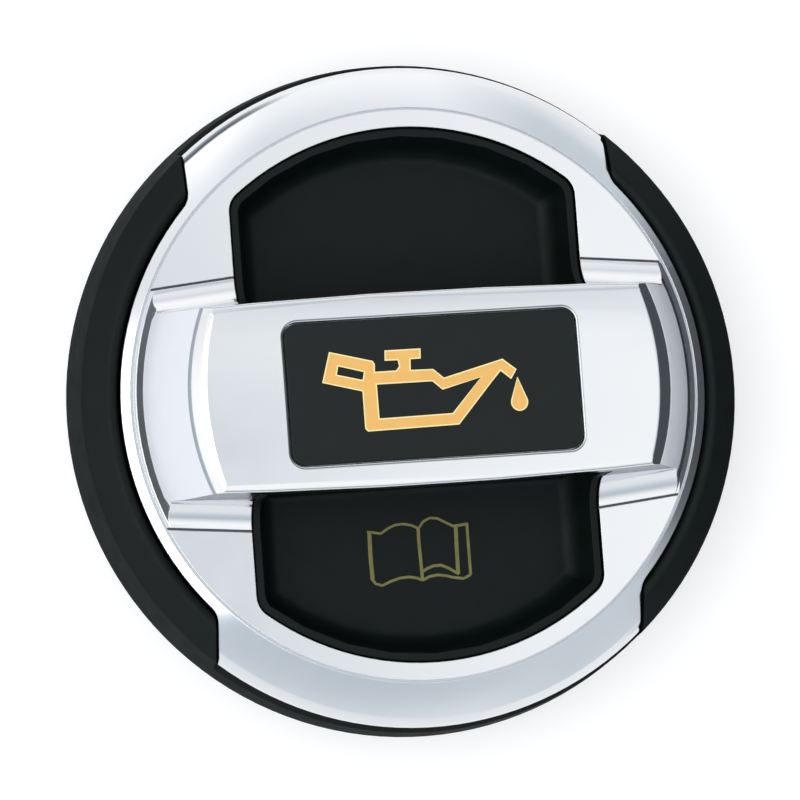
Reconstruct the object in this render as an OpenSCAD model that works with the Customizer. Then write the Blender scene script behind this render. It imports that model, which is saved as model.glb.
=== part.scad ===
// Oil filler cap with a bright one-piece trim, a raised grip bar and two finger bowls.
// Z points up out of the engine. The origin is the centre of the stem's lower end.
// Heights named _h are measured up from the lower edge of the skirt.

/* [Grip shell] */
// Diameter of the skirt at its lower edge
skirt_d = 73; // [70:0.5:80]
// Wall of the skirt
skirt_t = 2.5; // [1.8:0.1:3]
// How far the skirt's side leans in up to the edge of the grip pads
skirt_lean = 0.95; // [0.7:0.05:1.6]
// Radius of the skirt's lower edge
skirt_edge_r = 0.6; // [0.2:0.1:0.9]
// Height of the grip pads' outer edge
pad_edge_h = 7.3; // [6.8:0.1:8]
// How much higher the pads are at their inner edge
pad_rise = 1.75; // [1:0.05:2]
// Rounding of the pads' inner edge
pad_round_r = 0.8; // [0.4:0.1:1.2]
// Distance from the cap's centre to the straight end of each pad
pad_end_x = 23.2; // [22:0.1:24.2]
// Corner radius of the pads in plan
pad_corner_r = 2.2; // [1.4:0.1:3]
// Thickness of the deck that carries the trim
deck_t = 2.4; // [1.6:0.1:2.6]
// Height of the ledge under the trim's outer edge
ledge_h = 4.3; // [3.6:0.1:4.5]

/* [Finger bowls] */
// Depth of the bowls below the trim's flat plateau
bowl_depth = 4.8; // [4:0.1:5]
// Thickness of the bowls' floor
floor_t = 1.6; // [1.2:0.1:1.8]
// How far the bowls' walls lean in from the lip down to the floor
bowl_lean = 2.4; // [1.2:0.1:3]
// Width of the black lip round each bowl
lip_w = 0.75; // [0.5:0.05:1.1]
// How far the lip stands below the trim's face
lip_drop = 0.35; // [0.1:0.05:0.8]
// Gap between the lip and the trim
lip_gap = 0.22; // [0.1:0.02:0.4]
// How far the rib's sides stand in from the bar's edges
rib_inset = 0.6; // [0.4:0.05:1]
// Wall of the hollow rib under the bar
rib_t = 2; // [1.4:0.1:2.6]

/* [Bright trim] */
// How far the trim's edge stands in from the skirt's lower edge
trim_reveal = 1.05; // [0.9:0.05:1.4]
// Height of the flat plateau
plateau_h = 9.6; // [9.4:0.1:10.2]
// Thickness of the trim
trim_t = 2; // [1.6:0.1:2.2]
// Width of the sloping band outside the plateau
band_w = 4.95; // [4.4:0.05:5.4]
// Height of the trim's outer wall
edge_wall_h = 1.3; // [1.1:0.05:1.5]
// Rounding at the outside of the sloping band
edge_round_r = 2.2; // [1.6:0.1:2.6]
// Bulge of the sloping band above a straight line
band_bulge = 0.06; // [0.02:0.01:0.15]
// Depth of the crease round the plateau and along the bar's foot
crease_depth = 0.3; // [0.15:0.05:0.4]
// Width of that crease
crease_w = 0.24; // [0.16:0.02:0.4]
// Width of the strip left between the crease and the pads
rim_w = 1.1; // [0.8:0.05:1.4]
// Gap between the trim and the pads
pad_gap = 0.3; // [0.15:0.05:0.5]
// Distance across the bowls' openings, side to side
window_w = 37.6; // [34:0.2:38.2]
// Width of plateau between the openings and the crease
window_ring = 1.95; // [1.5:0.05:2.6]
// Corner radius of the openings
window_corner_r = 2.5; // [1.5:0.1:4]

/* [Grip bar] */
// Height of the bar above the plateau
bar_rise = 9.4; // [8:0.1:11]
// Width of the bar across its top edges, halfway along
bar_w = 20.2; // [18:0.1:20.8]
// Radius of the shallow curve of the bar's sides in plan
side_bow_r = 535; // [350:5:1000]
// Crown of the bar's top across its width
bar_crown = 0.3; // [0.1:0.05:0.6]
// Rounding of the bar's long top edges
bar_edge_r = 0.45; // [0.2:0.05:0.8]
// Lean of each side of the bar, from the top edge down to the cove
bar_draft = 0.35; // [0.1:0.05:0.6]
// Radius of the cove at the foot of the bar's sides
side_cove_r = 3.35; // [2.6:0.05:4]
// Angle by which those coves draw in beyond the openings
cove_taper_deg = 5.5; // [3:0.5:7]
// Thickness of the bar's top
bar_top_t = 2.2; // [1.9:0.1:2.6]
// Wall of the bar's ends
bar_wall = 1.9; // [1.5:0.1:2.2]
// Steepness of the sloping face at each end of the bar
end_slope_deg = 63; // [60:1:66]
// Width of the flatter foot below that face
end_foot_w = 0.65; // [0.5:0.05:1]
// Width of plateau left between the foot and the crease
end_foot_gap = 0.35; // [0.2:0.05:0.5]
// Steepness of the foot
end_foot_deg = 47; // [42:1:52]
// Width of the bevel above the face
end_bevel_w = 1.5; // [1.2:0.05:1.8]
// Steepness of the bevel
end_bevel_deg = 38; // [32:1:44]
// Rounding between the face and the bevel
end_round_r = 1.4; // [1:0.1:2.2]

/* [Badge plate] */
// Length of the plate along the bar
badge_l = 30.8; // [24:0.2:32]
// Width of the plate across the bar
badge_w = 14.7; // [12:0.1:15.2]
// Thickness of the plate
badge_t = 0.9; // [0.6:0.05:1.2]
// Corner radius of the plate
badge_corner_r = 1.4; // [0.6:0.1:2.5]
// Gap round the plate
badge_gap = 0.1; // [0.05:0.05:0.2]
// How far the plate's face stands below the bar's crest
badge_drop = 0.3; // [0.2:0.05:0.5]

/* [Bayonet core] */
// How far the flange's edge stands in from the skirt's lower edge
flange_inset = 8.5; // [8:0.1:9.5]
// Thickness of the flange
flange_t = 1.5; // [1.2:0.1:1.8]
// How far the pilot spigot, which centres the cap in the neck, stands in from the flange's edge
spigot_inset = 7; // [6.4:0.1:7.6]
// Length of the spigot's pilot wall
spigot_l = 4; // [3:0.5:5]
// Step between the pilot wall and the land that the seal sits on
seal_step = 0.4; // [0.2:0.1:0.8]
// Height between the pilot wall and the seal
seal_lift = 0.3; // [0.2:0.05:0.5]
// Wall of the spigot
spigot_t = 1.8; // [1.4:0.1:2.2]
// How far the stem's outside stands in from the spigot's
stem_inset = 3; // [2.5:0.1:4]
// Wall of the stem
stem_t = 2.4; // [2:0.1:3]
// How far the stem stands out below the skirt
stem_reach = 17; // [14:0.5:22]
// Chamfer at the stem's lower end
stem_chamfer = 0.8; // [0.4:0.1:1.2]
// How far the bayonet lugs stand out from the stem
lug_out = 2.6; // [1.8:0.1:2.8]
// Thickness of the lugs along the stem
lug_t = 3; // [2.4:0.1:4]
// Angle that each lug spans
lug_deg = 48; // [36:1:60]
// Height of the lugs above the stem's lower end
lug_lift = 1.6; // [1:0.1:3]
// Angle of the lead-in ramp on each lug
lug_ramp_deg = 12; // [6:1:16]
// Number of webs between the stem and the spigot
web_count = 8; // [4:1:12]
// Thickness of those webs
web_t = 1.2; // [0.8:0.1:1.6]

/* [Neck seal] */
// Thickness of the seal
seal_t = 2; // [1.6:0.1:2.4]
// Width of the seal
seal_w = 4.2; // [3.4:0.1:5]
// Depth of the groove in the seal's lower face
seal_groove = 0.5; // [0.2:0.05:0.7]

/* [Underside] */
// Wall of the collar that holds the flange
collar_t = 1.4; // [1:0.1:1.6]
// Clearance between the flange and the collar
collar_gap = 0.2; // [0.1:0.05:0.3]
// How far the collar's snaps reach in under the flange
snap_in = 0.7; // [0.5:0.05:0.9]
// Height of the collar's snaps
snap_t = 0.7; // [0.5:0.1:0.9]
// Number of snaps
snap_count = 6; // [4:1:8]
// Number of ribs between the collar and the skirt
rib_count = 24; // [16:2:32]
// Thickness of those ribs
rib_web_t = 1.1; // [0.8:0.1:1.6]
// Width of each of the trim's four snap legs
leg_w = 4; // [3:0.5:5]
// Thickness of the legs
leg_t = 1.3; // [1:0.1:1.6]
// How far each leg's barb hooks under the deck
barb_out = 0.6; // [0.4:0.1:0.8]

/* [Hidden] */
$fn = 96;
arc_steps = 8;
slice_fn = 36;
bow_steps = 2;
slice_t = 0.15;
over = 1;
tall = 60;

skirt_r = skirt_d / 2;
pad_edge_r = skirt_r - skirt_lean;
trim_r = skirt_r - trim_reveal;
crease_r = trim_r - band_w;
scallop_r = crease_r + rim_w;
pad_in_r = scallop_r + pad_gap;
window_r = crease_r - window_ring;
half_window = window_w / 2;

deck_h = plateau_h - trim_t;
under_deck_h = deck_h - deck_t;
floor_h = plateau_h - bowl_depth;
flange_top_h = floor_h - floor_t;
flange_low_h = flange_top_h - flange_t;
snap_low_h = flange_low_h - snap_t;
trim_low_h = ledge_h + 0.1;
edge_top_h = trim_low_h + edge_wall_h;
ledge_low_h = ledge_h - 1.8;

seat_in_r = crease_r - 0.6;
seat_out_r = trim_r - 1.5;
hollow_r = skirt_r - skirt_t;
hollow_high_r = hollow_r - 0.5;
roof_slope = (under_deck_h - ledge_low_h) / (hollow_high_r - seat_in_r);
flange_r = skirt_r - flange_inset;
collar_r = flange_r + collar_gap;
collar_out_r = collar_r + collar_t;

bar_top_h = plateau_h + bar_rise;
plate_low_h = bar_top_h - bar_top_t;
half_bar = bar_w / 2;
rib_half = half_bar - rib_inset;
wall_half = half_bar + bar_draft;
shoulder_x = half_window - 0.6;
foot_half = wall_half - pow(half_window, 2) / (2 * side_bow_r) + side_cove_r;
foot_r = crease_r - crease_w / 2 - end_foot_gap;
slope_foot_r = foot_r - end_foot_w;
slope_foot_h = plateau_h + end_foot_w * tan(end_foot_deg);
bevel_h = bar_top_h - end_bevel_w * tan(end_bevel_deg);
bevel_r = slope_foot_r - (bevel_h - slope_foot_h) / tan(end_slope_deg);
bar_top_r = bevel_r - end_bevel_w;
pocket_h = bar_top_h - badge_drop - badge_t;

spigot_r = flange_r - spigot_inset;
land_r = spigot_r - seal_step;
pilot_top_h = flange_low_h - seal_t - seal_lift;
spigot_low_h = pilot_top_h - spigot_l;
stem_r = spigot_r - stem_inset;
bore_r = stem_r - stem_t;
leg_r = (collar_out_r + hollow_high_r) / 2 - 0.25;
leg_angles = [60, 120, 240, 300];
slot_gap = 0.15;

// The list turned end for end
function reverse(list) = [for (i = [len(list) - 1:-1:0]) list[i]];

// The list with the sign of each point's first coordinate changed
function mirrored(list) = [for (p = list) [-p[0], p[1]]];

// Points of an arc about [x, y]
function arc(x, y, r, from, to, steps = arc_steps) =
  [for (i = [0:steps]) let (a = from + (to - from) * i / steps) [x + r * cos(a), y + r * sin(a)]];

// Points from p to q along a shallow curve that stands above the straight line by rise
function bowed(p, q, rise, steps = 4) =
  [for (i = [0:steps]) let (t = i / steps, s = 4 * rise * t * (1 - t), d = norm(q - p))
    p + (q - p) * t - [q[1] - p[1], p[0] - q[0]] * s / d];

// Height of the hollow's sloping roof at radius r
function roof_h(r) = under_deck_h - (r - seat_in_r) * roof_slope;

// Plan of the openings: a circle cut off at both sides, with its four corners rounded
module window_plan(inset = 0) {
  w = half_window - inset;
  r = window_r - inset;
  c = max(0.5, window_corner_r - inset * 0.4);
  corner_y = sqrt(pow(r - c, 2) - pow(w - c, 2));
  arc_x = (w - c) * r / (r - c);
  intersection() {
    circle(r);
    union() {
      square([2 * w, 2 * corner_y], center = true);
      square([2 * arc_x, 2 * r], center = true);
      for (sx = [-1, 1], sy = [-1, 1]) translate([sx * (w - c), sy * corner_y]) circle(c);
    }
  }
}

// Plan of both grip pads, grown by a clearance
module pad_plan(grow = 0) {
  x = pad_end_x - grow;
  r = pad_in_r - grow;
  c = pad_corner_r + grow;
  corner_y = sqrt(pow(r + c, 2) - pow(x + c, 2));
  touch = 0.97 * r / (r + c);
  for (side = [0, 1]) mirror([side, 0]) difference() {
    translate([x, -tall]) square([tall, 2 * tall]);
    circle(r);
    for (end = [0, 1]) mirror([0, end]) difference() {
      polygon([
        [x + c, corner_y],
        [x - over, corner_y],
        [x - over, corner_y * touch],
        [(x + c) * touch, corner_y * touch]
      ]);
      translate([x + c, corner_y]) circle(c);
    }
  }
}

// Everything on the inner side of one of the bar's side walls, which follows a shallow curve in plan
module inside_wall() {
  edge_h = bar_top_h - bar_crown;
  ease = 12;
  crest = arc(half_bar - bar_edge_r, edge_h - bar_edge_r, bar_edge_r, 90 - ease, 0);
  above = crest[0] + 2 * bar_crown * [-1 / tan(ease), 1];
  back = -2 * half_bar;
  turn = asin(crease_r / side_bow_r) / (bow_steps + 0.5);
  translate([0, half_bar - side_bow_r, 0]) intersection_for (i = [-bow_steps:bow_steps])
    rotate(i * turn) translate([-2 * crease_r, side_bow_r - half_bar, 0]) rotate([90, 0, 90])
      linear_extrude(4 * crease_r) polygon(concat(
        [[back, plateau_h - over], [back, above[1]], above],
        crest,
        [[wall_half, plateau_h + side_cove_r], [wall_half, plateau_h - over]]
      ));
}

// The bar's crowned top and its two walls
module crowned_walls() {
  crown = [
    for (i = [-arc_steps:arc_steps]) let (y = (half_bar + over) * i / arc_steps)
      [y, bar_top_h - bar_crown * pow(y / half_bar, 2)]
  ];
  low = [[half_bar + over, plateau_h - over], [-half_bar - over, plateau_h - over]];
  intersection() {
    translate([-crease_r, 0, 0]) rotate([90, 0, 90]) linear_extrude(2 * crease_r) polygon(concat(crown, low));
    inside_wall();
    mirror([0, 1, 0]) inside_wall();
  }
}

// Coves at the foot of the bar's sides, drawn in beyond the openings
module foot_coves() {
  right = concat(
    arc(foot_half, plateau_h + side_cove_r, side_cove_r, 180, 270),
    [[foot_half, plateau_h - over]]
  );
  section = concat(reverse(mirrored(right)), right);
  reach = crease_r - shoulder_x + 2 * over;
  lap = 3;
  translate([-shoulder_x, 0, 0]) rotate([90, 0, 90]) linear_extrude(2 * shoulder_x) polygon(section);
  for (side = [0, 1]) mirror([side, 0, 0]) translate([shoulder_x, 0, 0]) intersection() {
    rotate(cove_taper_deg) translate([-lap, 0, 0]) rotate([90, 0, 90])
      linear_extrude(reach + lap) polygon(section);
    rotate(-cove_taper_deg) translate([-lap, 0, 0]) rotate([90, 0, 90])
      linear_extrude(reach + lap) polygon(section);
  }
}

// Turned outline of the bar's ends: foot, sloping face and bevel, with a rounding between the last two
module end_outline() {
  span = end_round_r * tan((end_slope_deg - end_bevel_deg) / 2);
  round_x = bevel_r + span * cos(end_slope_deg) - end_round_r * sin(end_slope_deg);
  round_y = bevel_h - span * sin(end_slope_deg) - end_round_r * cos(end_slope_deg);
  rotate_extrude() polygon(concat(
    [[0, plateau_h - over], [foot_r, plateau_h - over], [foot_r, plateau_h], [slope_foot_r, slope_foot_h]],
    arc(round_x, round_y, end_round_r, 90 - end_slope_deg, 90 - end_bevel_deg, 5),
    [
      [bar_top_r, bar_top_h],
      [bar_top_r - end_bevel_w, bar_top_h + end_bevel_w * tan(end_bevel_deg)],
      [0, bar_top_h + end_bevel_w]
    ]
  ));
}

// The grip bar's outer form, down to the plateau
module bar_form() {
  intersection() {
    union() {
      crowned_walls();
      foot_coves();
    }
    end_outline();
  }
}

// Hollow inside the bar's ends, open to the underside
module bar_hollow() {
  wall_run = bar_wall / sin(end_slope_deg);
  low_r = slope_foot_r - wall_run;
  high_r = low_r - (plate_low_h - slope_foot_h) / tan(end_slope_deg);
  half = half_bar - pow(bar_top_r, 2) / (2 * side_bow_r) - bar_wall;
  intersection() {
    translate([-tall / 2, -half, 0]) cube([tall, 2 * half, plate_low_h]);
    rotate_extrude() polygon([
      [0, 0], [low_r, 0], [low_r, slope_foot_h], [high_r, plate_low_h], [0, plate_low_h]
    ]);
  }
}

// The creases along the foot of the bar's sides, from the openings out to the crease round the plateau
module foot_creases() {
  intersection() {
    cylinder(r = crease_r, h = tall);
    for (sx = [0, 1], sy = [0, 1]) mirror([sx, 0, 0]) mirror([0, sy, 0])
      translate([shoulder_x, foot_half, plateau_h - crease_depth]) rotate(-cove_taper_deg)
        translate([0, -crease_w / 2, 0]) cube([crease_r - shoulder_x, crease_w, over]);
  }
}

// Turned ring of the trim: plateau, crease, sloping band, rounded edge and outer wall
module trim_ring() {
  round_x = trim_r - edge_round_r;
  round_from = 60;
  band_low = [round_x + edge_round_r * cos(round_from), edge_top_h + edge_round_r * sin(round_from)];
  rotate_extrude() polygon(concat(
    [
      [0, deck_h], [0, plateau_h], [crease_r - crease_w / 2, plateau_h],
      [crease_r - crease_w / 2, plateau_h - crease_depth], [crease_r + crease_w / 2, plateau_h - crease_depth]
    ],
    bowed([crease_r + crease_w / 2, plateau_h - 0.06], band_low, band_bulge),
    arc(round_x, edge_top_h, edge_round_r, round_from - 6, 0),
    [[trim_r, trim_low_h], [seat_out_r, trim_low_h], [seat_in_r, deck_h]]
  ));
}

// One snap leg of the trim, with its barb under the deck
module snap_leg() {
  inner = leg_r - leg_t / 2;
  outer = leg_r + leg_t / 2;
  tip = outer + barb_out;
  play = 0.1;
  catch_h = roof_h(tip) - play;
  rotate([90, 0, 0]) translate([0, 0, -leg_w / 2]) linear_extrude(leg_w) polygon([
    [inner, deck_h + 0.2], [inner, catch_h - 1.3], [outer - 0.2, catch_h - 1.3],
    [tip, catch_h - 0.3], [tip, catch_h], [outer, roof_h(outer) - play], [outer, deck_h - 1]
  ]);
}

// The slots in the deck for the trim's legs, with room inside for each leg to flex as its barb passes
module leg_slots() {
  flex = barb_out + slot_gap;
  for (a = leg_angles) rotate(a)
    translate([leg_r - leg_t / 2 - flex, -leg_w / 2 - slot_gap, ledge_low_h])
      cube([leg_t + flex + slot_gap, leg_w + 2 * slot_gap, deck_h]);
}

// Outer form of the shell, pads all the way round, hollowed from below
module shell_blank() {
  pad_top_h = pad_edge_h + pad_rise;
  lean = atan2(skirt_lean, pad_edge_h);
  rotate_extrude() polygon(concat(
    [[0, under_deck_h], [seat_in_r, under_deck_h], [hollow_high_r, ledge_low_h], [hollow_r, 0]],
    arc(skirt_r - skirt_edge_r, skirt_edge_r, skirt_edge_r, 270, 360 + lean),
    arc(pad_edge_r - 0.4, pad_edge_h - 0.3, 0.4, lean, 62),
    arc(pad_in_r + pad_round_r, pad_top_h - pad_round_r, pad_round_r, 62, 180),
    [[pad_in_r, deck_h], [0, deck_h]]
  ));
}

// Space above the deck that the trim fills
module trim_seat() {
  difference() {
    rotate_extrude() polygon([
      [seat_in_r, deck_h], [seat_out_r, ledge_h], [skirt_r + over, ledge_h], [skirt_r + over, tall],
      [seat_in_r - over, tall], [seat_in_r - over, deck_h + over]
    ]);
    linear_extrude(tall) pad_plan();
  }
}

// Black filling of the openings: bowl walls, lips and the rib that carries the bar
module window_fill() {
  intersection() {
    translate([0, 0, flange_top_h]) linear_extrude(plate_low_h - flange_top_h) window_plan(lip_gap);
    union() {
      cylinder(r = skirt_r, h = plateau_h - lip_drop);
      translate([0, 0, -lip_drop]) bar_form();
    }
  }
}

// Scooped space of one finger bowl, widening from the floor up to the lip
module bowl_void() {
  lip_h = bowl_depth - lip_drop;
  slices = [
    [0, 1, 1], [0.3, 0.7, 0.4], [0.9, 0.43, 0.1], [1.8, 0.26, 0], [lip_h, 0, 0], [tall, 0, 0]
  ];
  hull() for (s = slices) translate([0, 0, floor_h + s[0]]) linear_extrude(slice_t) intersection() {
    window_plan(lip_gap + lip_w + bowl_lean * s[1], $fn = slice_fn);
    translate([-tall, rib_half + s[2]]) square([2 * tall, tall]);
  }
}

module collar() {
  difference() {
    translate([0, 0, snap_low_h]) cylinder(r = collar_out_r, h = under_deck_h + 0.2 - snap_low_h);
    translate([0, 0, snap_low_h - over]) cylinder(r = collar_r, h = tall);
  }
  for (i = [0:snap_count - 1]) rotate(i * 360 / snap_count - 8) rotate_extrude(angle = 16) polygon([
    [collar_r + 0.3, flange_low_h], [collar_r - snap_in, flange_low_h],
    [collar_r - 0.2, snap_low_h], [collar_r + 0.3, snap_low_h]
  ]);
}

// Radial ribs between the collar and the skirt, left out where a snap leg passes
module skirt_ribs() {
  rib_low_h = 0.8;
  pitch = 360 / rib_count;
  clear = asin((leg_w / 2 + slot_gap + rib_web_t) / leg_r);
  intersection() {
    for (i = [0:rib_count - 1]) let (a = (i + 0.5) * pitch)
      if (min([for (l = leg_angles) abs(a - l)]) > clear)
        rotate(a) translate([collar_r + collar_t / 2, -rib_web_t / 2, rib_low_h])
          cube([skirt_r - collar_r, rib_web_t, deck_h]);
    rotate_extrude() polygon([
      [collar_r + 0.5, rib_low_h], [hollow_r + 0.3, rib_low_h], [hollow_high_r + 0.3, ledge_low_h + 0.2],
      [seat_in_r + 0.2, under_deck_h + 0.2], [collar_r + 0.5, under_deck_h + 0.2]
    ]);
  }
}

module grip_shell() {
  rib_x = half_window - lip_gap - rib_t;
  color([0.09, 0.1, 0.1]) translate([0, 0, stem_reach]) difference() {
    union() {
      difference() {
        shell_blank();
        trim_seat();
      }
      window_fill();
      collar();
      skirt_ribs();
    }
    for (side = [0, 1]) mirror([0, side, 0]) bowl_void();
    translate([-rib_x, -rib_half + rib_t, flange_top_h - over])
      cube([2 * rib_x, 2 * (rib_half - rib_t), plate_low_h - rib_t - flange_top_h + over]);
    leg_slots();
  }
}

module bright_trim() {
  color([0.86, 0.87, 0.9]) translate([0, 0, stem_reach]) {
    difference() {
      union() {
        trim_ring();
        bar_form();
      }
      bar_hollow();
      linear_extrude(plate_low_h) window_plan();
      linear_extrude(tall) pad_plan(pad_gap);
      foot_creases();
      translate([0, 0, pocket_h]) linear_extrude(over + badge_t) badge_plan(badge_gap);
    }
    for (a = leg_angles) rotate(a) snap_leg();
  }
}

// Plan of the badge plate, grown by a clearance
module badge_plan(grow = 0) {
  r = badge_corner_r + grow;
  x = badge_l / 2 + grow;
  y = badge_w / 2 + grow;
  square([2 * (x - r), 2 * y], center = true);
  square([2 * x, 2 * (y - r)], center = true);
  for (sx = [-1, 1], sy = [-1, 1]) translate([sx * (x - r), sy * (y - r)]) circle(r);
}

module badge_plate() {
  color([0.12, 0.12, 0.13]) translate([0, 0, stem_reach + pocket_h]) linear_extrude(badge_t) badge_plan();
}

// One bayonet lug: a sector with a ramp that leads it under the neck's cam
module lug() {
  lug_low_h = lug_lift - stem_reach;
  difference() {
    rotate_extrude(angle = lug_deg) translate([stem_r - 0.6, lug_low_h]) square([lug_out + 0.6, lug_t]);
    translate([stem_r, 0, lug_low_h + lug_t * 0.45]) rotate([lug_ramp_deg, 0, 0])
      translate([-lug_t, -lug_t, 0]) cube([lug_out + 2 * lug_t, stem_r * 0.4, lug_t]);
  }
}

module bayonet_core() {
  color([0.16, 0.16, 0.17]) translate([0, 0, stem_reach]) {
    difference() {
      union() {
        translate([0, 0, flange_low_h]) cylinder(r = flange_r, h = flange_t);
        translate([0, 0, spigot_low_h]) cylinder(r = spigot_r, h = spigot_l);
        translate([0, 0, spigot_low_h]) cylinder(r = land_r, h = flange_low_h - spigot_low_h);
        translate([0, 0, -stem_reach + stem_chamfer]) cylinder(r = stem_r, h = stem_reach);
        translate([0, 0, -stem_reach]) cylinder(r1 = stem_r - stem_chamfer, r2 = stem_r, h = stem_chamfer);
        for (i = [0, 1]) rotate(i * 180 - lug_deg / 2) lug();
      }
      translate([0, 0, -stem_reach - over]) cylinder(r = bore_r, h = stem_reach + over + flange_low_h);
      difference() {
        translate([0, 0, spigot_low_h - over])
          cylinder(r = spigot_r - spigot_t, h = flange_low_h - spigot_low_h + over);
        translate([0, 0, -stem_reach]) cylinder(r = stem_r, h = tall);
        for (i = [0:web_count - 1]) rotate((i + 0.5) * 360 / web_count)
          translate([stem_r - stem_t / 2, -web_t / 2, spigot_low_h])
            cube([stem_inset + (stem_t - spigot_t) / 2, web_t, tall]);
      }
    }
  }
}

module neck_seal() {
  inner = land_r;
  outer = land_r + seal_w;
  mid = (inner + outer) / 2;
  color([0.05, 0.05, 0.055]) translate([0, 0, stem_reach + flange_low_h - seal_t])
    rotate_extrude() polygon([
      [inner, 0.3], [inner + 0.3, 0], [mid - 0.9, 0], [mid - 0.4, seal_groove], [mid + 0.4, seal_groove],
      [mid + 0.9, 0], [outer - 0.4, 0], [outer, 0.4], [outer, seal_t], [inner, seal_t]
    ]);
}

grip_shell();
bright_trim();
badge_plate();
bayonet_core();
neck_seal();
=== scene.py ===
import math
import bmesh
import bpy
from mathutils import Matrix, Vector


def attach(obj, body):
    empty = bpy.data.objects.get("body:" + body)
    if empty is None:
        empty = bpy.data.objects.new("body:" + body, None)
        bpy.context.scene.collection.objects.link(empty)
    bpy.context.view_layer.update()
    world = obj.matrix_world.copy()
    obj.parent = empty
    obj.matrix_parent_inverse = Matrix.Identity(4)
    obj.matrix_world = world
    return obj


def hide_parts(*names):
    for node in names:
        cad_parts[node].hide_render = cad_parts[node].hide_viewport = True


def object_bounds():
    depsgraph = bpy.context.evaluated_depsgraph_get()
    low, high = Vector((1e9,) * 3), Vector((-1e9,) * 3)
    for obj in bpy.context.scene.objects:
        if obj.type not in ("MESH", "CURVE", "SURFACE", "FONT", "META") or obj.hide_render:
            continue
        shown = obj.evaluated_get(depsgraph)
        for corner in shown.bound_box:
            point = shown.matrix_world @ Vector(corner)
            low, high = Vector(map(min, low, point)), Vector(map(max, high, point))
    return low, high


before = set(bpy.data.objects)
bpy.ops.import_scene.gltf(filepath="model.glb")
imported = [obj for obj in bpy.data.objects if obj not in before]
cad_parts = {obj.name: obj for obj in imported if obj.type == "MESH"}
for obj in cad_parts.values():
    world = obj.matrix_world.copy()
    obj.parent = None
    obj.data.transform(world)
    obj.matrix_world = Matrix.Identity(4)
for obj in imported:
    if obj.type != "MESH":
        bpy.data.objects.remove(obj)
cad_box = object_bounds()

# The floor under the loose cap: a white light table, wide enough to fill every view.
# The cap stands on the lower end of its stem, so the floor lies just under z = 0.


def linear(hex_colour):
    """An sRGB hex value as linear red, green, blue and alpha."""
    parts = [int(hex_colour[i:i + 2], 16) / 255 for i in (0, 2, 4)]
    return (*[c / 12.92 if c <= 0.04045 else ((c + 0.055) / 1.055) ** 2.4 for c in parts], 1.0)


def new_material(name, **constants):
    """A material whose surface shader has the named constants, with that shader."""
    made = bpy.data.materials.new(name)
    made.use_nodes = True
    shader = made.node_tree.nodes["Principled BSDF"]
    for socket, value in constants.items():
        shader.inputs[socket.replace("_", " ")].default_value = value
    return made, shader


table_half_width = 3.0
table_gap = 0.0002
mesh = bpy.data.meshes.new("table_top")
bm = bmesh.new()
bmesh.ops.create_grid(bm, x_segments=1, y_segments=1, size=table_half_width)
bmesh.ops.translate(bm, verts=bm.verts, vec=(0, 0, -table_gap))
bm.to_mesh(mesh)
bm.free()
table_top = bpy.data.objects.new("table_top", mesh)
bpy.context.scene.collection.objects.link(table_top)
# Matt white diffuser, faintly lit from below: a clean pale ground with a weak contact shadow.
diffuser, surface = new_material(
    "matt_white_diffuser", Base_Color=linear("FFFFFF"), Roughness=0.9, Specular_IOR_Level=0.2,
    Emission_Color=linear("FFFFFF"), Emission_Strength=0.18)
table_top.data.materials.append(diffuser)
# The plating doesn't mirror the table: it mirrors the dome's lower half, as if the table were small.
table_top.visible_glossy = False

# The camera looks down on the cap from above its left end, 11.5 degrees off the axis, from
# 400 mm away. The cap is turned 4.3 degrees anticlockwise in the picture.
aim = Vector((0, 0, 0.017))
distance = 0.4
tilt = math.radians(11.5)
bearing = math.radians(198.18)
roll = math.radians(4.32)
towards = Vector((
    math.sin(tilt) * math.cos(bearing), math.sin(tilt) * math.sin(bearing), math.cos(tilt)))
up = Vector((math.sin(roll), math.cos(roll), 0))
right = up.cross(towards).normalized()
above = towards.cross(right)
turn = Matrix((right, above, towards)).transposed().to_4x4()
camera_data = bpy.data.cameras.new("camera")
camera_data.lens = 165.6
camera_data.sensor_width = 36
camera_data.shift_x = -0.0014
camera = bpy.data.objects.new("camera", camera_data)
camera.matrix_world = Matrix.Translation(aim + distance * towards) @ turn
bpy.context.scene.collection.objects.link(camera)
bpy.context.scene.camera = camera

# Studio light: a bright dome, greyer half way up, with a dark card at the horizon beyond each end
# of the bar that draws the dark lines on the plating, and a soft box high beyond its left end.


def add_node(owner, kind, inputs, **settings):
    """Adds one node. inputs maps each socket to a value or to another node's output."""
    tree = owner.node_tree
    made = tree.nodes.new(kind)
    for name, value in settings.items():
        setattr(made, name, value)
    for name, value in inputs.items():
        if isinstance(value, bpy.types.NodeSocket):
            tree.links.new(value, made.inputs[name])
        else:
            made.inputs[name].default_value = value
    return made


# A Mix node has sockets for each kind of value: its two colours go in at 6 and 7 and come out at 2.
first_colour, second_colour, mixed_colour = 6, 7, 2
bpy.context.scene.view_settings.view_transform = "Standard"
world = bpy.data.worlds.new("studio")
world.use_nodes = True
bpy.context.scene.world = world
coords = add_node(world, "ShaderNodeTexCoord", {})
split = add_node(world, "ShaderNodeSeparateXYZ", {"Vector": coords.outputs["Generated"]})
level = add_node(
    world, "ShaderNodeMath", {0: split.outputs["Z"], 1: 0.5, 2: 0.5}, operation="MULTIPLY_ADD")


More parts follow.
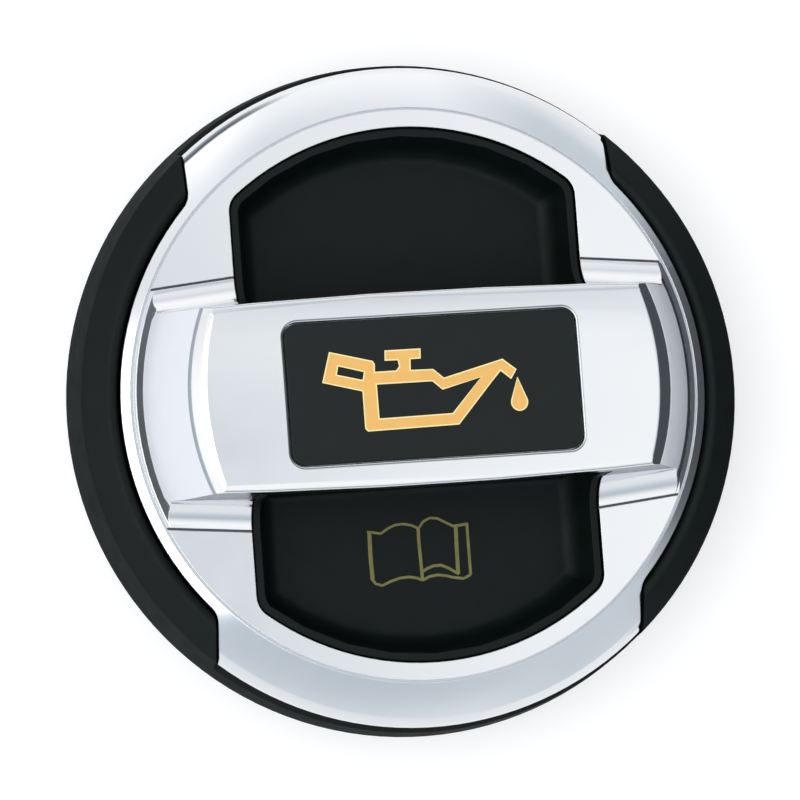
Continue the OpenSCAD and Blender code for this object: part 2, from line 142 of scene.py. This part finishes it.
def dome_side(stops):
    """One side of the dome: its brightness at a few heights in degrees, bluer where it is dimmer.

    The ramp's own last stop stays, so every side ends in white straight up.
    """
    made = add_node(world, "ShaderNodeValToRGB", {"Fac": level.outputs[0]})
    ramp = made.color_ramp
    # Red and green fall faster than blue where the dome is dimmer, down to a brightness of 0.6.
    white = (0.98, 0.985, 1.0)
    falls = (0.25, 0.06, -0.08)
    bluest_at = 0.6
    for i, (degrees, bright) in enumerate(stops):
        place = (math.sin(math.radians(degrees)) + 1) / 2
        stop = ramp.elements[0] if i == 0 else ramp.elements.new(place)
        stop.position = place
        dim = max(bright, bluest_at)
        stop.color = (*[full * bright * dim ** fall for full, fall in zip(white, falls)], 1)
    return made.outputs["Color"]


def blend_to(side, next_side, axis, first, last):
    """Fades from one side of the dome to the next as a direction turns toward an axis.

    first and last are cosines of its angle to the axis, where the fade starts and ends.
    """
    nearness = add_node(
        world, "ShaderNodeVectorMath",
        {0: coords.outputs["Generated"], 1: axis}, operation="DOT_PRODUCT")
    share = add_node(
        world, "ShaderNodeMapRange",
        {"Value": nearness.outputs["Value"], "From Min": first, "From Max": last})
    mixed = add_node(
        world, "ShaderNodeMix",
        {0: share.outputs["Result"], first_colour: side, second_colour: next_side}, data_type="RGBA")
    return mixed.outputs[mixed_colour]


near_side = dome_side([
    (-90, 1.0), (17, 0.92), (27, 0.86), (34, 0.72), (47, 0.6),
    (62, 1.08), (75, 1.12), (79.5, 0.99), (83, 0.67)])
far_side = dome_side([
    (-90, 1.0), (19, 1.15), (29, 1.02), (38, 0.82), (46, 0.94), (60, 1.0), (68, 0.58)])
far_right = dome_side([
    (-90, 1.0), (15, 1.0), (20, 0.74), (36, 0.72), (50, 0.85), (66, 1.05)])
left_end = dome_side([
    (-90, 1.0), (-23, 0.98), (-19, 0.5), (-8, 0.3), (0, 0.2), (3, 0.08), (9, 0.08),
    (13, 0.3), (17, 0.9), (20, 1.3), (28, 1.3), (36, 1.1), (46, 0.86)])
right_end = dome_side([
    (-90, 1.0), (-32, 0.98), (-27, 0.08), (40, 0.08), (52, 0.7), (64, 1.08)])
# The left card stands 25 degrees round from the bar's end, toward the far side.
left_card = (-0.906, 0.423, 0)
dome = blend_to(near_side, far_side, axis=(0, 1, 0), first=0.13, last=0.23)
dome = blend_to(dome, far_right, axis=(1, 0, 0), first=0.3, last=0.55)
dome = blend_to(dome, left_end, axis=left_card, first=0.52, last=0.64)
dome = blend_to(dome, right_end, axis=(1, 0, 0), first=0.74, last=0.86)
world.node_tree.links.new(dome, world.node_tree.nodes["Background"].inputs["Color"])
light = bpy.data.lights.new("soft_box", "AREA")
light.shape = "SQUARE"
light.size = 0.9
light.energy = 4.0
soft_box = bpy.data.objects.new("soft_box", light)
soft_box.location = (-0.5, -0.12, 0.8)
soft_box.rotation_euler = (aim - Vector(soft_box.location)).to_track_quat("-Z", "Y").to_euler()
bpy.context.scene.collection.objects.link(soft_box)

# The grip shell: one black moulding in glass-filled nylon with a fine spark-eroded grain. It
# forms the skirt, the two grip pads at the bar's ends, the finger bowls and the rib below the bar.


def smooth_copy(node, name, sharp_from):
    """A merged copy of a CAD node that shades smoothly, with sharp edges beyond an angle in degrees."""
    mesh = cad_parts[node].data.copy()
    mesh.name = name
    mesh.materials.clear()
    bm = bmesh.new()
    bm.from_mesh(mesh)
    bmesh.ops.remove_doubles(bm, verts=bm.verts, dist=1e-5)
    bmesh.ops.dissolve_limit(bm, angle_limit=math.radians(0.5), verts=bm.verts, edges=bm.edges)
    bm.to_mesh(mesh)
    bm.free()
    if "custom_normal" in mesh.attributes:
        mesh.attributes.remove(mesh.attributes["custom_normal"])
    mesh.shade_smooth()
    mesh.set_sharp_from_angle(angle=math.radians(sharp_from))
    piece = bpy.data.objects.new(name, mesh)
    bpy.context.scene.collection.objects.link(piece)
    even = piece.modifiers.new("even", "WEIGHTED_NORMAL")
    even.keep_sharp = True
    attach(piece, "root")
    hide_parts(node)
    return piece


def mottle(material, shader, patch, dark, pale, rough, grain, depth, edge):
    """Uneven colour and roughness over patches, a fine grain and softened edges; lengths in mm."""
    place = add_node(material, "ShaderNodeTexCoord", {}).outputs["Object"]
    patches = add_node(
        material, "ShaderNodeTexNoise", {"Vector": place, "Scale": 1000 / patch, "Detail": 3.0})
    tint = add_node(
        material, "ShaderNodeMix",
        {0: patches.outputs["Fac"], first_colour: linear(dark), second_colour: linear(pale)},
        data_type="RGBA")
    sheen = add_node(
        material, "ShaderNodeMapRange",
        {"Value": patches.outputs["Fac"], "From Min": 0.3, "From Max": 0.7,
         "To Min": rough[0], "To Max": rough[1]})
    grains = add_node(
        material, "ShaderNodeTexNoise", {"Vector": place, "Scale": 1000 / grain, "Detail": 2.0})
    rounded = add_node(material, "ShaderNodeBevel", {"Radius": edge / 1000}, samples=4)
    relief = add_node(
        material, "ShaderNodeBump",
        {"Height": grains.outputs["Fac"], "Distance": depth / 1000, "Strength": 1.0,
         "Normal": rounded.outputs["Normal"]})
    links = material.node_tree.links
    links.new(tint.outputs[mixed_colour], shader.inputs["Base Color"])
    links.new(sheen.outputs["Result"], shader.inputs["Roughness"])
    links.new(relief.outputs["Normal"], shader.inputs["Normal"])


# Glass-filled nylon: deep black with a dull sheen that breaks up in the grain. The real grain is
# finer than 0.1 mm; here and on the other pieces it is drawn coarser, so that it shows.
nylon, surface = new_material("black_glass_filled_nylon", Specular_IOR_Level=0.17)
mottle(nylon, surface, patch=2.5, dark="060E0D", pale="0A1312", rough=(0.5, 0.6),
       grain=0.25, depth=0.006, edge=0.15)
# The skirt's outer wall has a coarser, duller grain for the hand.
coarse_nylon, surface = new_material("coarse_black_glass_filled_nylon", Specular_IOR_Level=0.06)
mottle(coarse_nylon, surface, patch=2.5, dark="0A1213", pale="0F1718", rough=(0.65, 0.75),
       grain=0.45, depth=0.012, edge=0.15)
shell = smooth_copy("grip_shell", "shell", sharp_from=28)
shell_finishes = [nylon, coarse_nylon]
for finish in shell_finishes:
    shell.data.materials.append(finish)
skirt_wall_r = 0.0355
steep_up = 0.5
for face in shell.data.polygons:
    if face.center.xy.length > skirt_wall_r and abs(face.normal.z) < steep_up:
        face.material_index = shell_finishes.index(coarse_nylon)

# The bright trim: one ABS moulding, satin chrome plated. It is the raised bar, the flat plateau,
# the sloping band with its scalloped ends and the thin strips beside the pads.
# Satin chrome: it mirrors the studio a little blurred, with a faint unevenness.
chrome, surface = new_material("satin_chrome_plating", Metallic=1.0)
mottle(chrome, surface, patch=6.0, dark="E7EBEE", pale="EBEEF1", rough=(0.13, 0.17),
       grain=1.5, depth=0.0006, edge=0.14)
# Painted shade: the plating in the foot creases is painted dark grey and made rough, so each of them
# reads as a fine dark line. The narrow gap beyond the right end face gets it too.
crease_painted_shade, surface = new_material("shaded_chrome_in_creases", Metallic=1.0)
mottle(crease_painted_shade, surface, patch=2.0, dark="50575C", pale="5C6368", rough=(0.35, 0.45),
       grain=0.4, depth=0.001, edge=0.05)
# The round crease is wider and its walls are rougher. They are also painted pale grey and half
# metallic, a painted soft shade, so it reads as a soft grey line.
round_crease_painted_grey, surface = new_material("chrome_with_painted_grey_in_round_crease", Metallic=0.5)
mottle(round_crease_painted_grey, surface, patch=2.0, dark="CDD3DA", pale="D6DBE1", rough=(0.35, 0.45),
       grain=0.4, depth=0.001, edge=0.05)
# Painted reflection: thin grey lines are painted where a flat face turns into a rounding, in place of
# the dark line such a rounding mirrors.
painted_dark_edge_line, surface = new_material("chrome_with_painted_dark_edge_line", Metallic=1.0)
mottle(painted_dark_edge_line, surface, patch=2.0, dark="858C93", pale="9098A0", rough=(0.3, 0.4),
       grain=0.4, depth=0.001, edge=0.03)
# The end faces are left duller by the tool: part mirror, part pale and matt.
dull_end, surface = new_material("dull_satin_chrome_on_end_faces", Metallic=0.3)
mottle(dull_end, surface, patch=4.0, dark="E0E3EA", pale="E6E9F0", rough=(0.3, 0.35),
       grain=1.5, depth=0.0002, edge=0.1)
# Painted reflection: the bar's steep walls are painted darker, as if mirroring the dark bowls below
# them, so they read as darker chrome.
wall_painted_reflection, surface = new_material("chrome_with_painted_reflection_on_steep_walls", Metallic=1.0)
mottle(wall_painted_reflection, surface, patch=4.0, dark="646C72", pale="6E767C", rough=(0.18, 0.24),
       grain=1.5, depth=0.0006, edge=0.1)
# Where the left end face turns over into its bevel the plating is rougher and painted a soft blue-grey
# line, a painted reflection.
end_rounding_painted_line, surface = new_material("chrome_with_painted_grey_line_on_end_rounding", Metallic=0.5)
mottle(end_rounding_painted_line, surface, patch=2.0, dark="A3ADB8", pale="ABB5BF", rough=(0.35, 0.45),
       grain=0.4, depth=0.001, edge=0.05)
# The left bevel itself is a little blurred, so its highlight has no hard edge.
soft_bevel, surface = new_material("satin_chrome_on_left_bevel", Metallic=1.0)
mottle(soft_bevel, surface, patch=4.0, dark="E4E9ED", pale="E9EDF0", rough=(0.2, 0.24),
       grain=1.5, depth=0.0006, edge=0.14)
trim = smooth_copy("bright_trim", "trim", sharp_from=13)
platings = [chrome, crease_painted_shade, round_crease_painted_grey, dull_end, painted_dark_edge_line, wall_painted_reflection, end_rounding_painted_line, soft_bevel]
for plating in platings:
    trim.data.materials.append(plating)

# Heights of the plateau and its creases' floors, and levels just under the roundings along the
# bar's top and under the pocket's rim. Heights less than a hair apart count as the same.
plateau_z = 0.0266
crease_floor_z = 0.0263
bar_shoulder_z = 0.0352
pocket_rim_z = 0.0358
hair = 0.00002
pocket_half_width = 0.0076
pocket_rounding = 0.0003
level_up = 0.9
bm = bmesh.new()
bm.from_mesh(trim.data)
# The badge's pocket has a rounded rim, and its level part is painted with a thin grey line, a painted
# dark reflection. The rim's edges lie between an upright wall and the bar's level top.
pocket_rim = [
    e for e in bm.edges
    if min(v.co.z for v in e.verts) > pocket_rim_z
    and max(abs(v.co.y) for v in e.verts) < pocket_half_width
    and sorted(round(abs(f.normal.z)) for f in e.link_faces) == [0, 1]]
rounding = bmesh.ops.bevel(
    bm, geom=pocket_rim, offset=pocket_rounding, offset_type="OFFSET", segments=3, profile=0.5,
    affect="EDGES", material=-1, clamp_overlap=False)
for face in rounding["faces"]:
    if face.normal.z > level_up:
        face.material_index = platings.index(painted_dark_edge_line)
# The bar's top runs over into its end bevels in a small rounding, wider at the left end. Its edge
# lies between a face of the top, which looks up, and one of the bevel, which looks along the bar.
bar_end_x = 0.02
top_up = 0.99
bevel_up = 0.82
along_bar = 0.35
left_rounding = 0.0003
right_rounding = 0.0002
for side, width in ((-1, left_rounding), (1, right_rounding)):
    brow = [
        e for e in bm.edges
        if len(e.link_faces) == 2 and min(v.co.x * side for v in e.verts) > bar_end_x
        and min(v.co.z for v in e.verts) > bar_shoulder_z
        and min(f.normal.z for f in e.link_faces) < bevel_up
        and max(f.normal.z for f in e.link_faces) > top_up
        and max(abs(f.normal.y) for f in e.link_faces) < along_bar]
    bmesh.ops.bevel(
        bm, geom=brow, offset=width, offset_type="OFFSET", segments=4, profile=0.5,
        affect="EDGES", material=-1, clamp_overlap=False)
# No rounding may rise above the cap's own top.
for vert in bm.verts:
    vert.co.z = min(vert.co.z, cad_box[1][2])
# The floor that the creases share is split, so that the round one can be told from the others.
crease_floors = [f for f in bm.faces if max(abs(v.co.z - crease_floor_z) for v in f.verts) < hair]
bmesh.ops.triangulate(bm, faces=crease_floors)
bm.to_mesh(trim.data)
bm.free()


def within(value, limits):
    """Whether a value lies between two limits."""
    return limits[0] < value < limits[1]


# Each kind of face gets its plating: painted shade in the creases and in the narrow gap beyond the
# right end face, the end faces, a painted dark reflection on the bar's steep walls, a painted grey line
# on the left end's rounding, the left bevel, and a painted dark line along the bar's rounded edges.
round_crease_r = (0.0302, 0.03064)
right_gap_x = 0.0285
left_bevel_x = -0.022
end_face_r = 0.024
end_foot_z = plateau_z + 0.001
wall_foot_z = plateau_z + 0.002
end_rounding_z = 0.0345
bar_side_y = 0.0115
bar_edge_y = 0.0085
# How much each kind of face looks up, from 0 for an upright face to 1 for a level one.
end_face_up = (0.3, 0.55)
end_rounding_up = (0.53, 0.772)
left_bevel_up = (0.772, 0.8)
dark_edge_line_up = (0.74, 0.88)
wall_up = (-0.15, 0.15)
# How much each kind of face looks across the bar: walls at least, bevel at most, edge at least.
wall_across = 0.8
bevel_across = 0.3
edge_across = 0.4
for face in trim.data.polygons:
    corners = [trim.data.vertices[i].co for i in face.vertices]
    reach = [corner.xy.length for corner in corners]
    (x, y, z), facing = face.center, face.normal
    across = abs(facing.y)
    in_groove = min(c.z for c in corners) > crease_floor_z - hair and z < plateau_z - hair
    on_end = z > end_foot_z and face.center.xy.length > end_face_r
    on_wall = z > wall_foot_z and abs(y) < bar_side_y
    on_left_bevel = z > bar_shoulder_z and x < left_bevel_x
    on_long_edge = z > bar_shoulder_z and abs(y) > bar_edge_y
    # Painted shade in the creases: dark grey in the foot creases, soft grey in the round one.
    if in_groove and max(reach) < round_crease_r[1]:
        plating = round_crease_painted_grey if min(reach) > round_crease_r[0] else crease_painted_shade
    # Painted shade: the plateau in the narrow gap beyond the right end gets the dark crease plating.
    elif abs(z - plateau_z) < hair and x > right_gap_x:
        plating = crease_painted_shade
    elif on_end and within(facing.z, end_face_up):
        plating = dull_end
    # Painted dark reflection on the bar's steep walls.
    elif on_wall and across > wall_across and within(facing.z, wall_up):
        plating = wall_painted_reflection
    # Painted grey line, a painted reflection, where the left end turns over into its bevel.
    elif z > end_rounding_z and x < left_bevel_x and within(facing.z, end_rounding_up):
        plating = end_rounding_painted_line
    elif on_left_bevel and across < bevel_across and within(facing.z, left_bevel_up):
        plating = soft_bevel
    # Painted reflection: a thin dark line painted along the bar's rounded long edges.
    elif on_long_edge and across > edge_across and within(facing.z, dark_edge_line_up):
        plating = painted_dark_edge_line
    else:
        continue
    face.material_index = platings.index(plating)

# The badge plate: a thin plastic moulding with a bevelled edge, lacquered black and let into the
# pocket in the bar's top. A gold oil can with one falling drop is printed on it.


def flat_print(name, outlines, foot_z, height, material):
    """A printed sign: filled outlines in mm, holes included, with a little height."""
    bm = bmesh.new()
    for outline in outlines:
        ring = [bm.verts.new((x / 1000, y / 1000, foot_z / 1000)) for x, y in outline]
        for i, vert in enumerate(ring):
            bm.edges.new((ring[i - 1], vert))
    bmesh.ops.triangle_fill(bm, use_beauty=True, use_dissolve=True, edges=bm.edges, normal=(0, 0, 1))
    top = bmesh.ops.extrude_face_region(bm, geom=bm.faces)["geom"]
    raised = [v for v in top if isinstance(v, bmesh.types.BMVert)]
    bmesh.ops.translate(bm, verts=raised, vec=(0, 0, height / 1000))
    bmesh.ops.recalc_face_normals(bm, faces=bm.faces)
    mesh = bpy.data.meshes.new(name)
    bm.to_mesh(mesh)
    bm.free()
    mesh.materials.append(material)
    piece = bpy.data.objects.new(name, mesh)
    bpy.context.scene.collection.objects.link(piece)
    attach(piece, "root")


# Satin black lacquer: a touch glossier and paler than the nylon.
lacquer, surface = new_material("satin_black_lacquer", Specular_IOR_Level=0.22)
mottle(lacquer, surface, patch=3.0, dark="0E1514", pale="121A19", rough=(0.4, 0.48),
       grain=0.3, depth=0.002, edge=0.1)
badge = smooth_copy("badge_plate", "badge", sharp_from=28)
badge.data.materials.append(lacquer)
badge_rim_bevel = 0.00012
bm = bmesh.new()
bm.from_mesh(badge.data)
face_z = max(v.co.z for v in bm.verts)
rim = [e for e in bm.edges if min(v.co.z for v in e.verts) > face_z - hair]
bmesh.ops.bevel(
    bm, geom=rim, offset=badge_rim_bevel, offset_type="OFFSET", segments=3, profile=0.5,
    affect="EDGES", material=-1, clamp_overlap=True)
bm.to_mesh(badge.data)
bm.free()
# Gold screen print: a flat opaque yellow gold with a slight sheen.
gold, surface = new_material("gold_screen_print", Specular_IOR_Level=0.4)
mottle(gold, surface, patch=1.5, dark="E0AD5C", pale="EAB96A", rough=(0.38, 0.5),
       grain=0.2, depth=0.002, edge=0.03)
# Its edges are painted paler: a painted highlight along the raised edge of the print.
gold_painted_highlight, surface = new_material("pale_gold_print_edge", Specular_IOR_Level=0.4)
mottle(gold_painted_highlight, surface, patch=1.5, dark="EDE09C", pale="F5E8A8", rough=(0.38, 0.5),
       grain=0.2, depth=0.002, edge=0.03)


def grown(outline, by):
    """A closed outline in mm, moved sideways by a distance."""
    ring = [Vector(point) for point in outline]
    moved = []
    for i, here in enumerate(ring):
        before = (here - ring[i - 1]).normalized()
        after = (ring[(i + 1) % len(ring)] - here).normalized()
        side = Vector((before.y + after.y, -before.x - after.x))
        moved.append(tuple(here + side * by / max(1 + before.dot(after), 0.5)))
    return moved


# The print stands on the badge's face, and its edge, painted pale as a highlight, is a little thicker.
badge_face_z = 35.7
print_height = 0.04
edge_height = 0.05
edge_half_width = 0.07
can_outline = (
    (-10.77, 4.15), (-6.34, 2.98), (-6.17, 2.66), (-6.22, 1.83), (-3.87, 1.84), (-3.5, 2.3),
    (-3.62, 3.02), (-4.98, 3.04), (-4.92, 3.98), (-1.25, 3.98), (-1.29, 3.06), (-2.38, 3.04),
    (-2.44, 1.8), (-0.02, 1.76), (1.05, 0.78), (7.4, 2.39), (8.75, 1.27), (8.18, 0.38),
    (7.12, 1.3), (6.13, 0.24), (2.29, -4.04), (-7.3, -4.17), (-7.54, -3.9), (-7.54, 0.0),
    (-11.67, 1.12),
)
handle_hole = ((-10.01, 2.77), (-7.23, 1.99), (-7.45, 1.05), (-10.24, 1.78))
body_hole = ((-6.12, 0.63), (-0.16, 0.62), (0.86, -0.31), (5.07, 0.72), (1.75, -2.94), (-6.09, -3.03))
flat_print(
    "oil_can_print", (can_outline, handle_hole, body_hole), badge_face_z, print_height,
    gold)
# The drop is a point above the greater part of an oval, whose arc is given in degrees.
drop_tip = (8.86, 0.4)
drop_x = 8.9
drop_y = -2.15
drop_half_width = 0.85
drop_half_height = 0.87
drop_from = 160
drop_sweep = 220
drop_steps = 24
drop_outline = [drop_tip]
for i in range(drop_steps + 1):
    angle = math.radians(drop_from + drop_sweep * i / drop_steps)
    across, along = drop_half_width * math.cos(angle), drop_half_height * math.sin(angle)
    drop_outline.append((drop_x + across, drop_y + along))
flat_print("oil_drop_print", (drop_outline,), badge_face_z, print_height, gold)
edged = (("can", can_outline), ("handle", handle_hole), ("body", body_hole), ("drop", drop_outline))
for name, outline in edged:
    edges = (grown(outline, -edge_half_width), grown(outline, edge_half_width))
    flat_print(name + "_print_edge", edges, badge_face_z, edge_height, gold_painted_highlight)

# The book print: fine dull gold lines on the floor of the near finger bowl, which draw an open
# book, the usual sign for reading the handbook. The lines are 0.25 to 0.45 mm wide.


def ribbon(points, width):
    """The outline of a line of even width in mm through the points."""
    left, right = [], []
    for i, point in enumerate(points):
        before = Vector(points[max(i - 1, 0)])
        after = Vector(points[min(i + 1, len(points) - 1)])
        run = (after - before).normalized() * width / 2
        left.append((point[0] - run.y, point[1] + run.x))
        right.append((point[0] + run.y, point[1] - run.x))
    return left + right[::-1]


# Dull gold ink, thinner than on the badge, so that the black shows through it.
ink, surface = new_material("dull_gold_ink", Specular_IOR_Level=0.3)
mottle(ink, surface, patch=0.8, dark="5E5D34", pale="85834C", rough=(0.5, 0.6),
       grain=0.2, depth=0.002, edge=0.02)
bowl_floor_z = 21.8
ink_spread = 1.05
ink_height = 0.02
# Each line stands a hair above the one before, so that two that cross share no face.
ink_step = 0.001
book_lines = (
    ("left_edge", 0.42, ((-5.45, -14.24), (-5.52, -16.64), (-5.47, -19.3))),
    ("left_page_head", 0.26, (
        (-5.69, -14.18), (-4.22, -14.46), (-3.37, -13.94), (-2.62, -13.65), (-1.71, -13.59),
        (-0.82, -13.8), (-0.17, -14.14))),
    ("spine", 0.34, ((-0.12, -14.07), (-0.15, -15.67), (-0.1, -17.46), (-0.05, -19.68))),
    ("right_page_head", 0.26, (
        (0.02, -14.08), (0.47, -13.49), (1.22, -13.14), (2.03, -13.24), (2.82, -13.69),
        (3.78, -14.23))),
    ("right_page_edge", 0.4, ((4.0, -14.28), (3.93, -16.4), (3.89, -19.34))),
    ("cover_head", 0.3, ((3.78, -14.2), (5.25, -14.06))),
    ("cover_edge", 0.3, ((5.23, -13.94), (5.23, -16.49), (5.24, -19.52))),
    ("left_foot", 0.28, (
        (-5.53, -19.25), (-5.16, -19.77), (-4.46, -20.01), (-3.53, -19.63), (-2.51, -19.35),
        (-1.51, -19.29), (-0.62, -19.47), (-0.05, -19.75))),
    ("right_foot", 0.28, (
        (-0.05, -19.75), (0.75, -19.4), (1.66, -19.29), (2.56, -19.44), (3.27, -19.67),
        (4.44, -19.87), (5.24, -19.52))),
    ("page_foot", 0.3, (
        (0.07, -18.8), (0.64, -18.49), (1.29, -18.29), (2.1, -18.29), (2.81, -18.61), (3.5, -19.06),
        (3.98, -19.36))),
)
for i, (name, width, points) in enumerate(book_lines):
    outline = ribbon(points, ink_spread * width)
    height = ink_height + ink_step * i
    flat_print("book_" + name, (outline,), bowl_floor_z, height, ink)

# The bayonet core: the stem, pilot spigot and flange in one black nylon moulding. Its flange
# snaps into the shell's collar, and its two lugs lock in the filler neck.
# Moulded nylon: a dull dark grey with faint flow marks.
core_nylon, surface = new_material("dark_moulded_nylon", Specular_IOR_Level=0.35)
mottle(core_nylon, surface, patch=5.0, dark="141617", pale="1C1E20", rough=(0.42, 0.55),
       grain=0.4, depth=0.004, edge=0.15)
core = smooth_copy("bayonet_core", "core", sharp_from=28)
core.data.materials.append(core_nylon)

# The neck seal: one moulded rubber ring with a shallow groove in its lower face. It sits round
# the pilot spigot and is pressed on the neck's rim when the cap is turned home.
# Moulded rubber: a soft, even, slightly bluish black without any gloss.
rubber, surface = new_material("moulded_rubber", Specular_IOR_Level=0.3)
mottle(rubber, surface, patch=1.5, dark="0E0F11", pale="15161A", rough=(0.6, 0.75),
       grain=0.15, depth=0.004, edge=0.1)
seal = smooth_copy("neck_seal", "seal", sharp_from=28)
seal.data.materials.append(rubber)
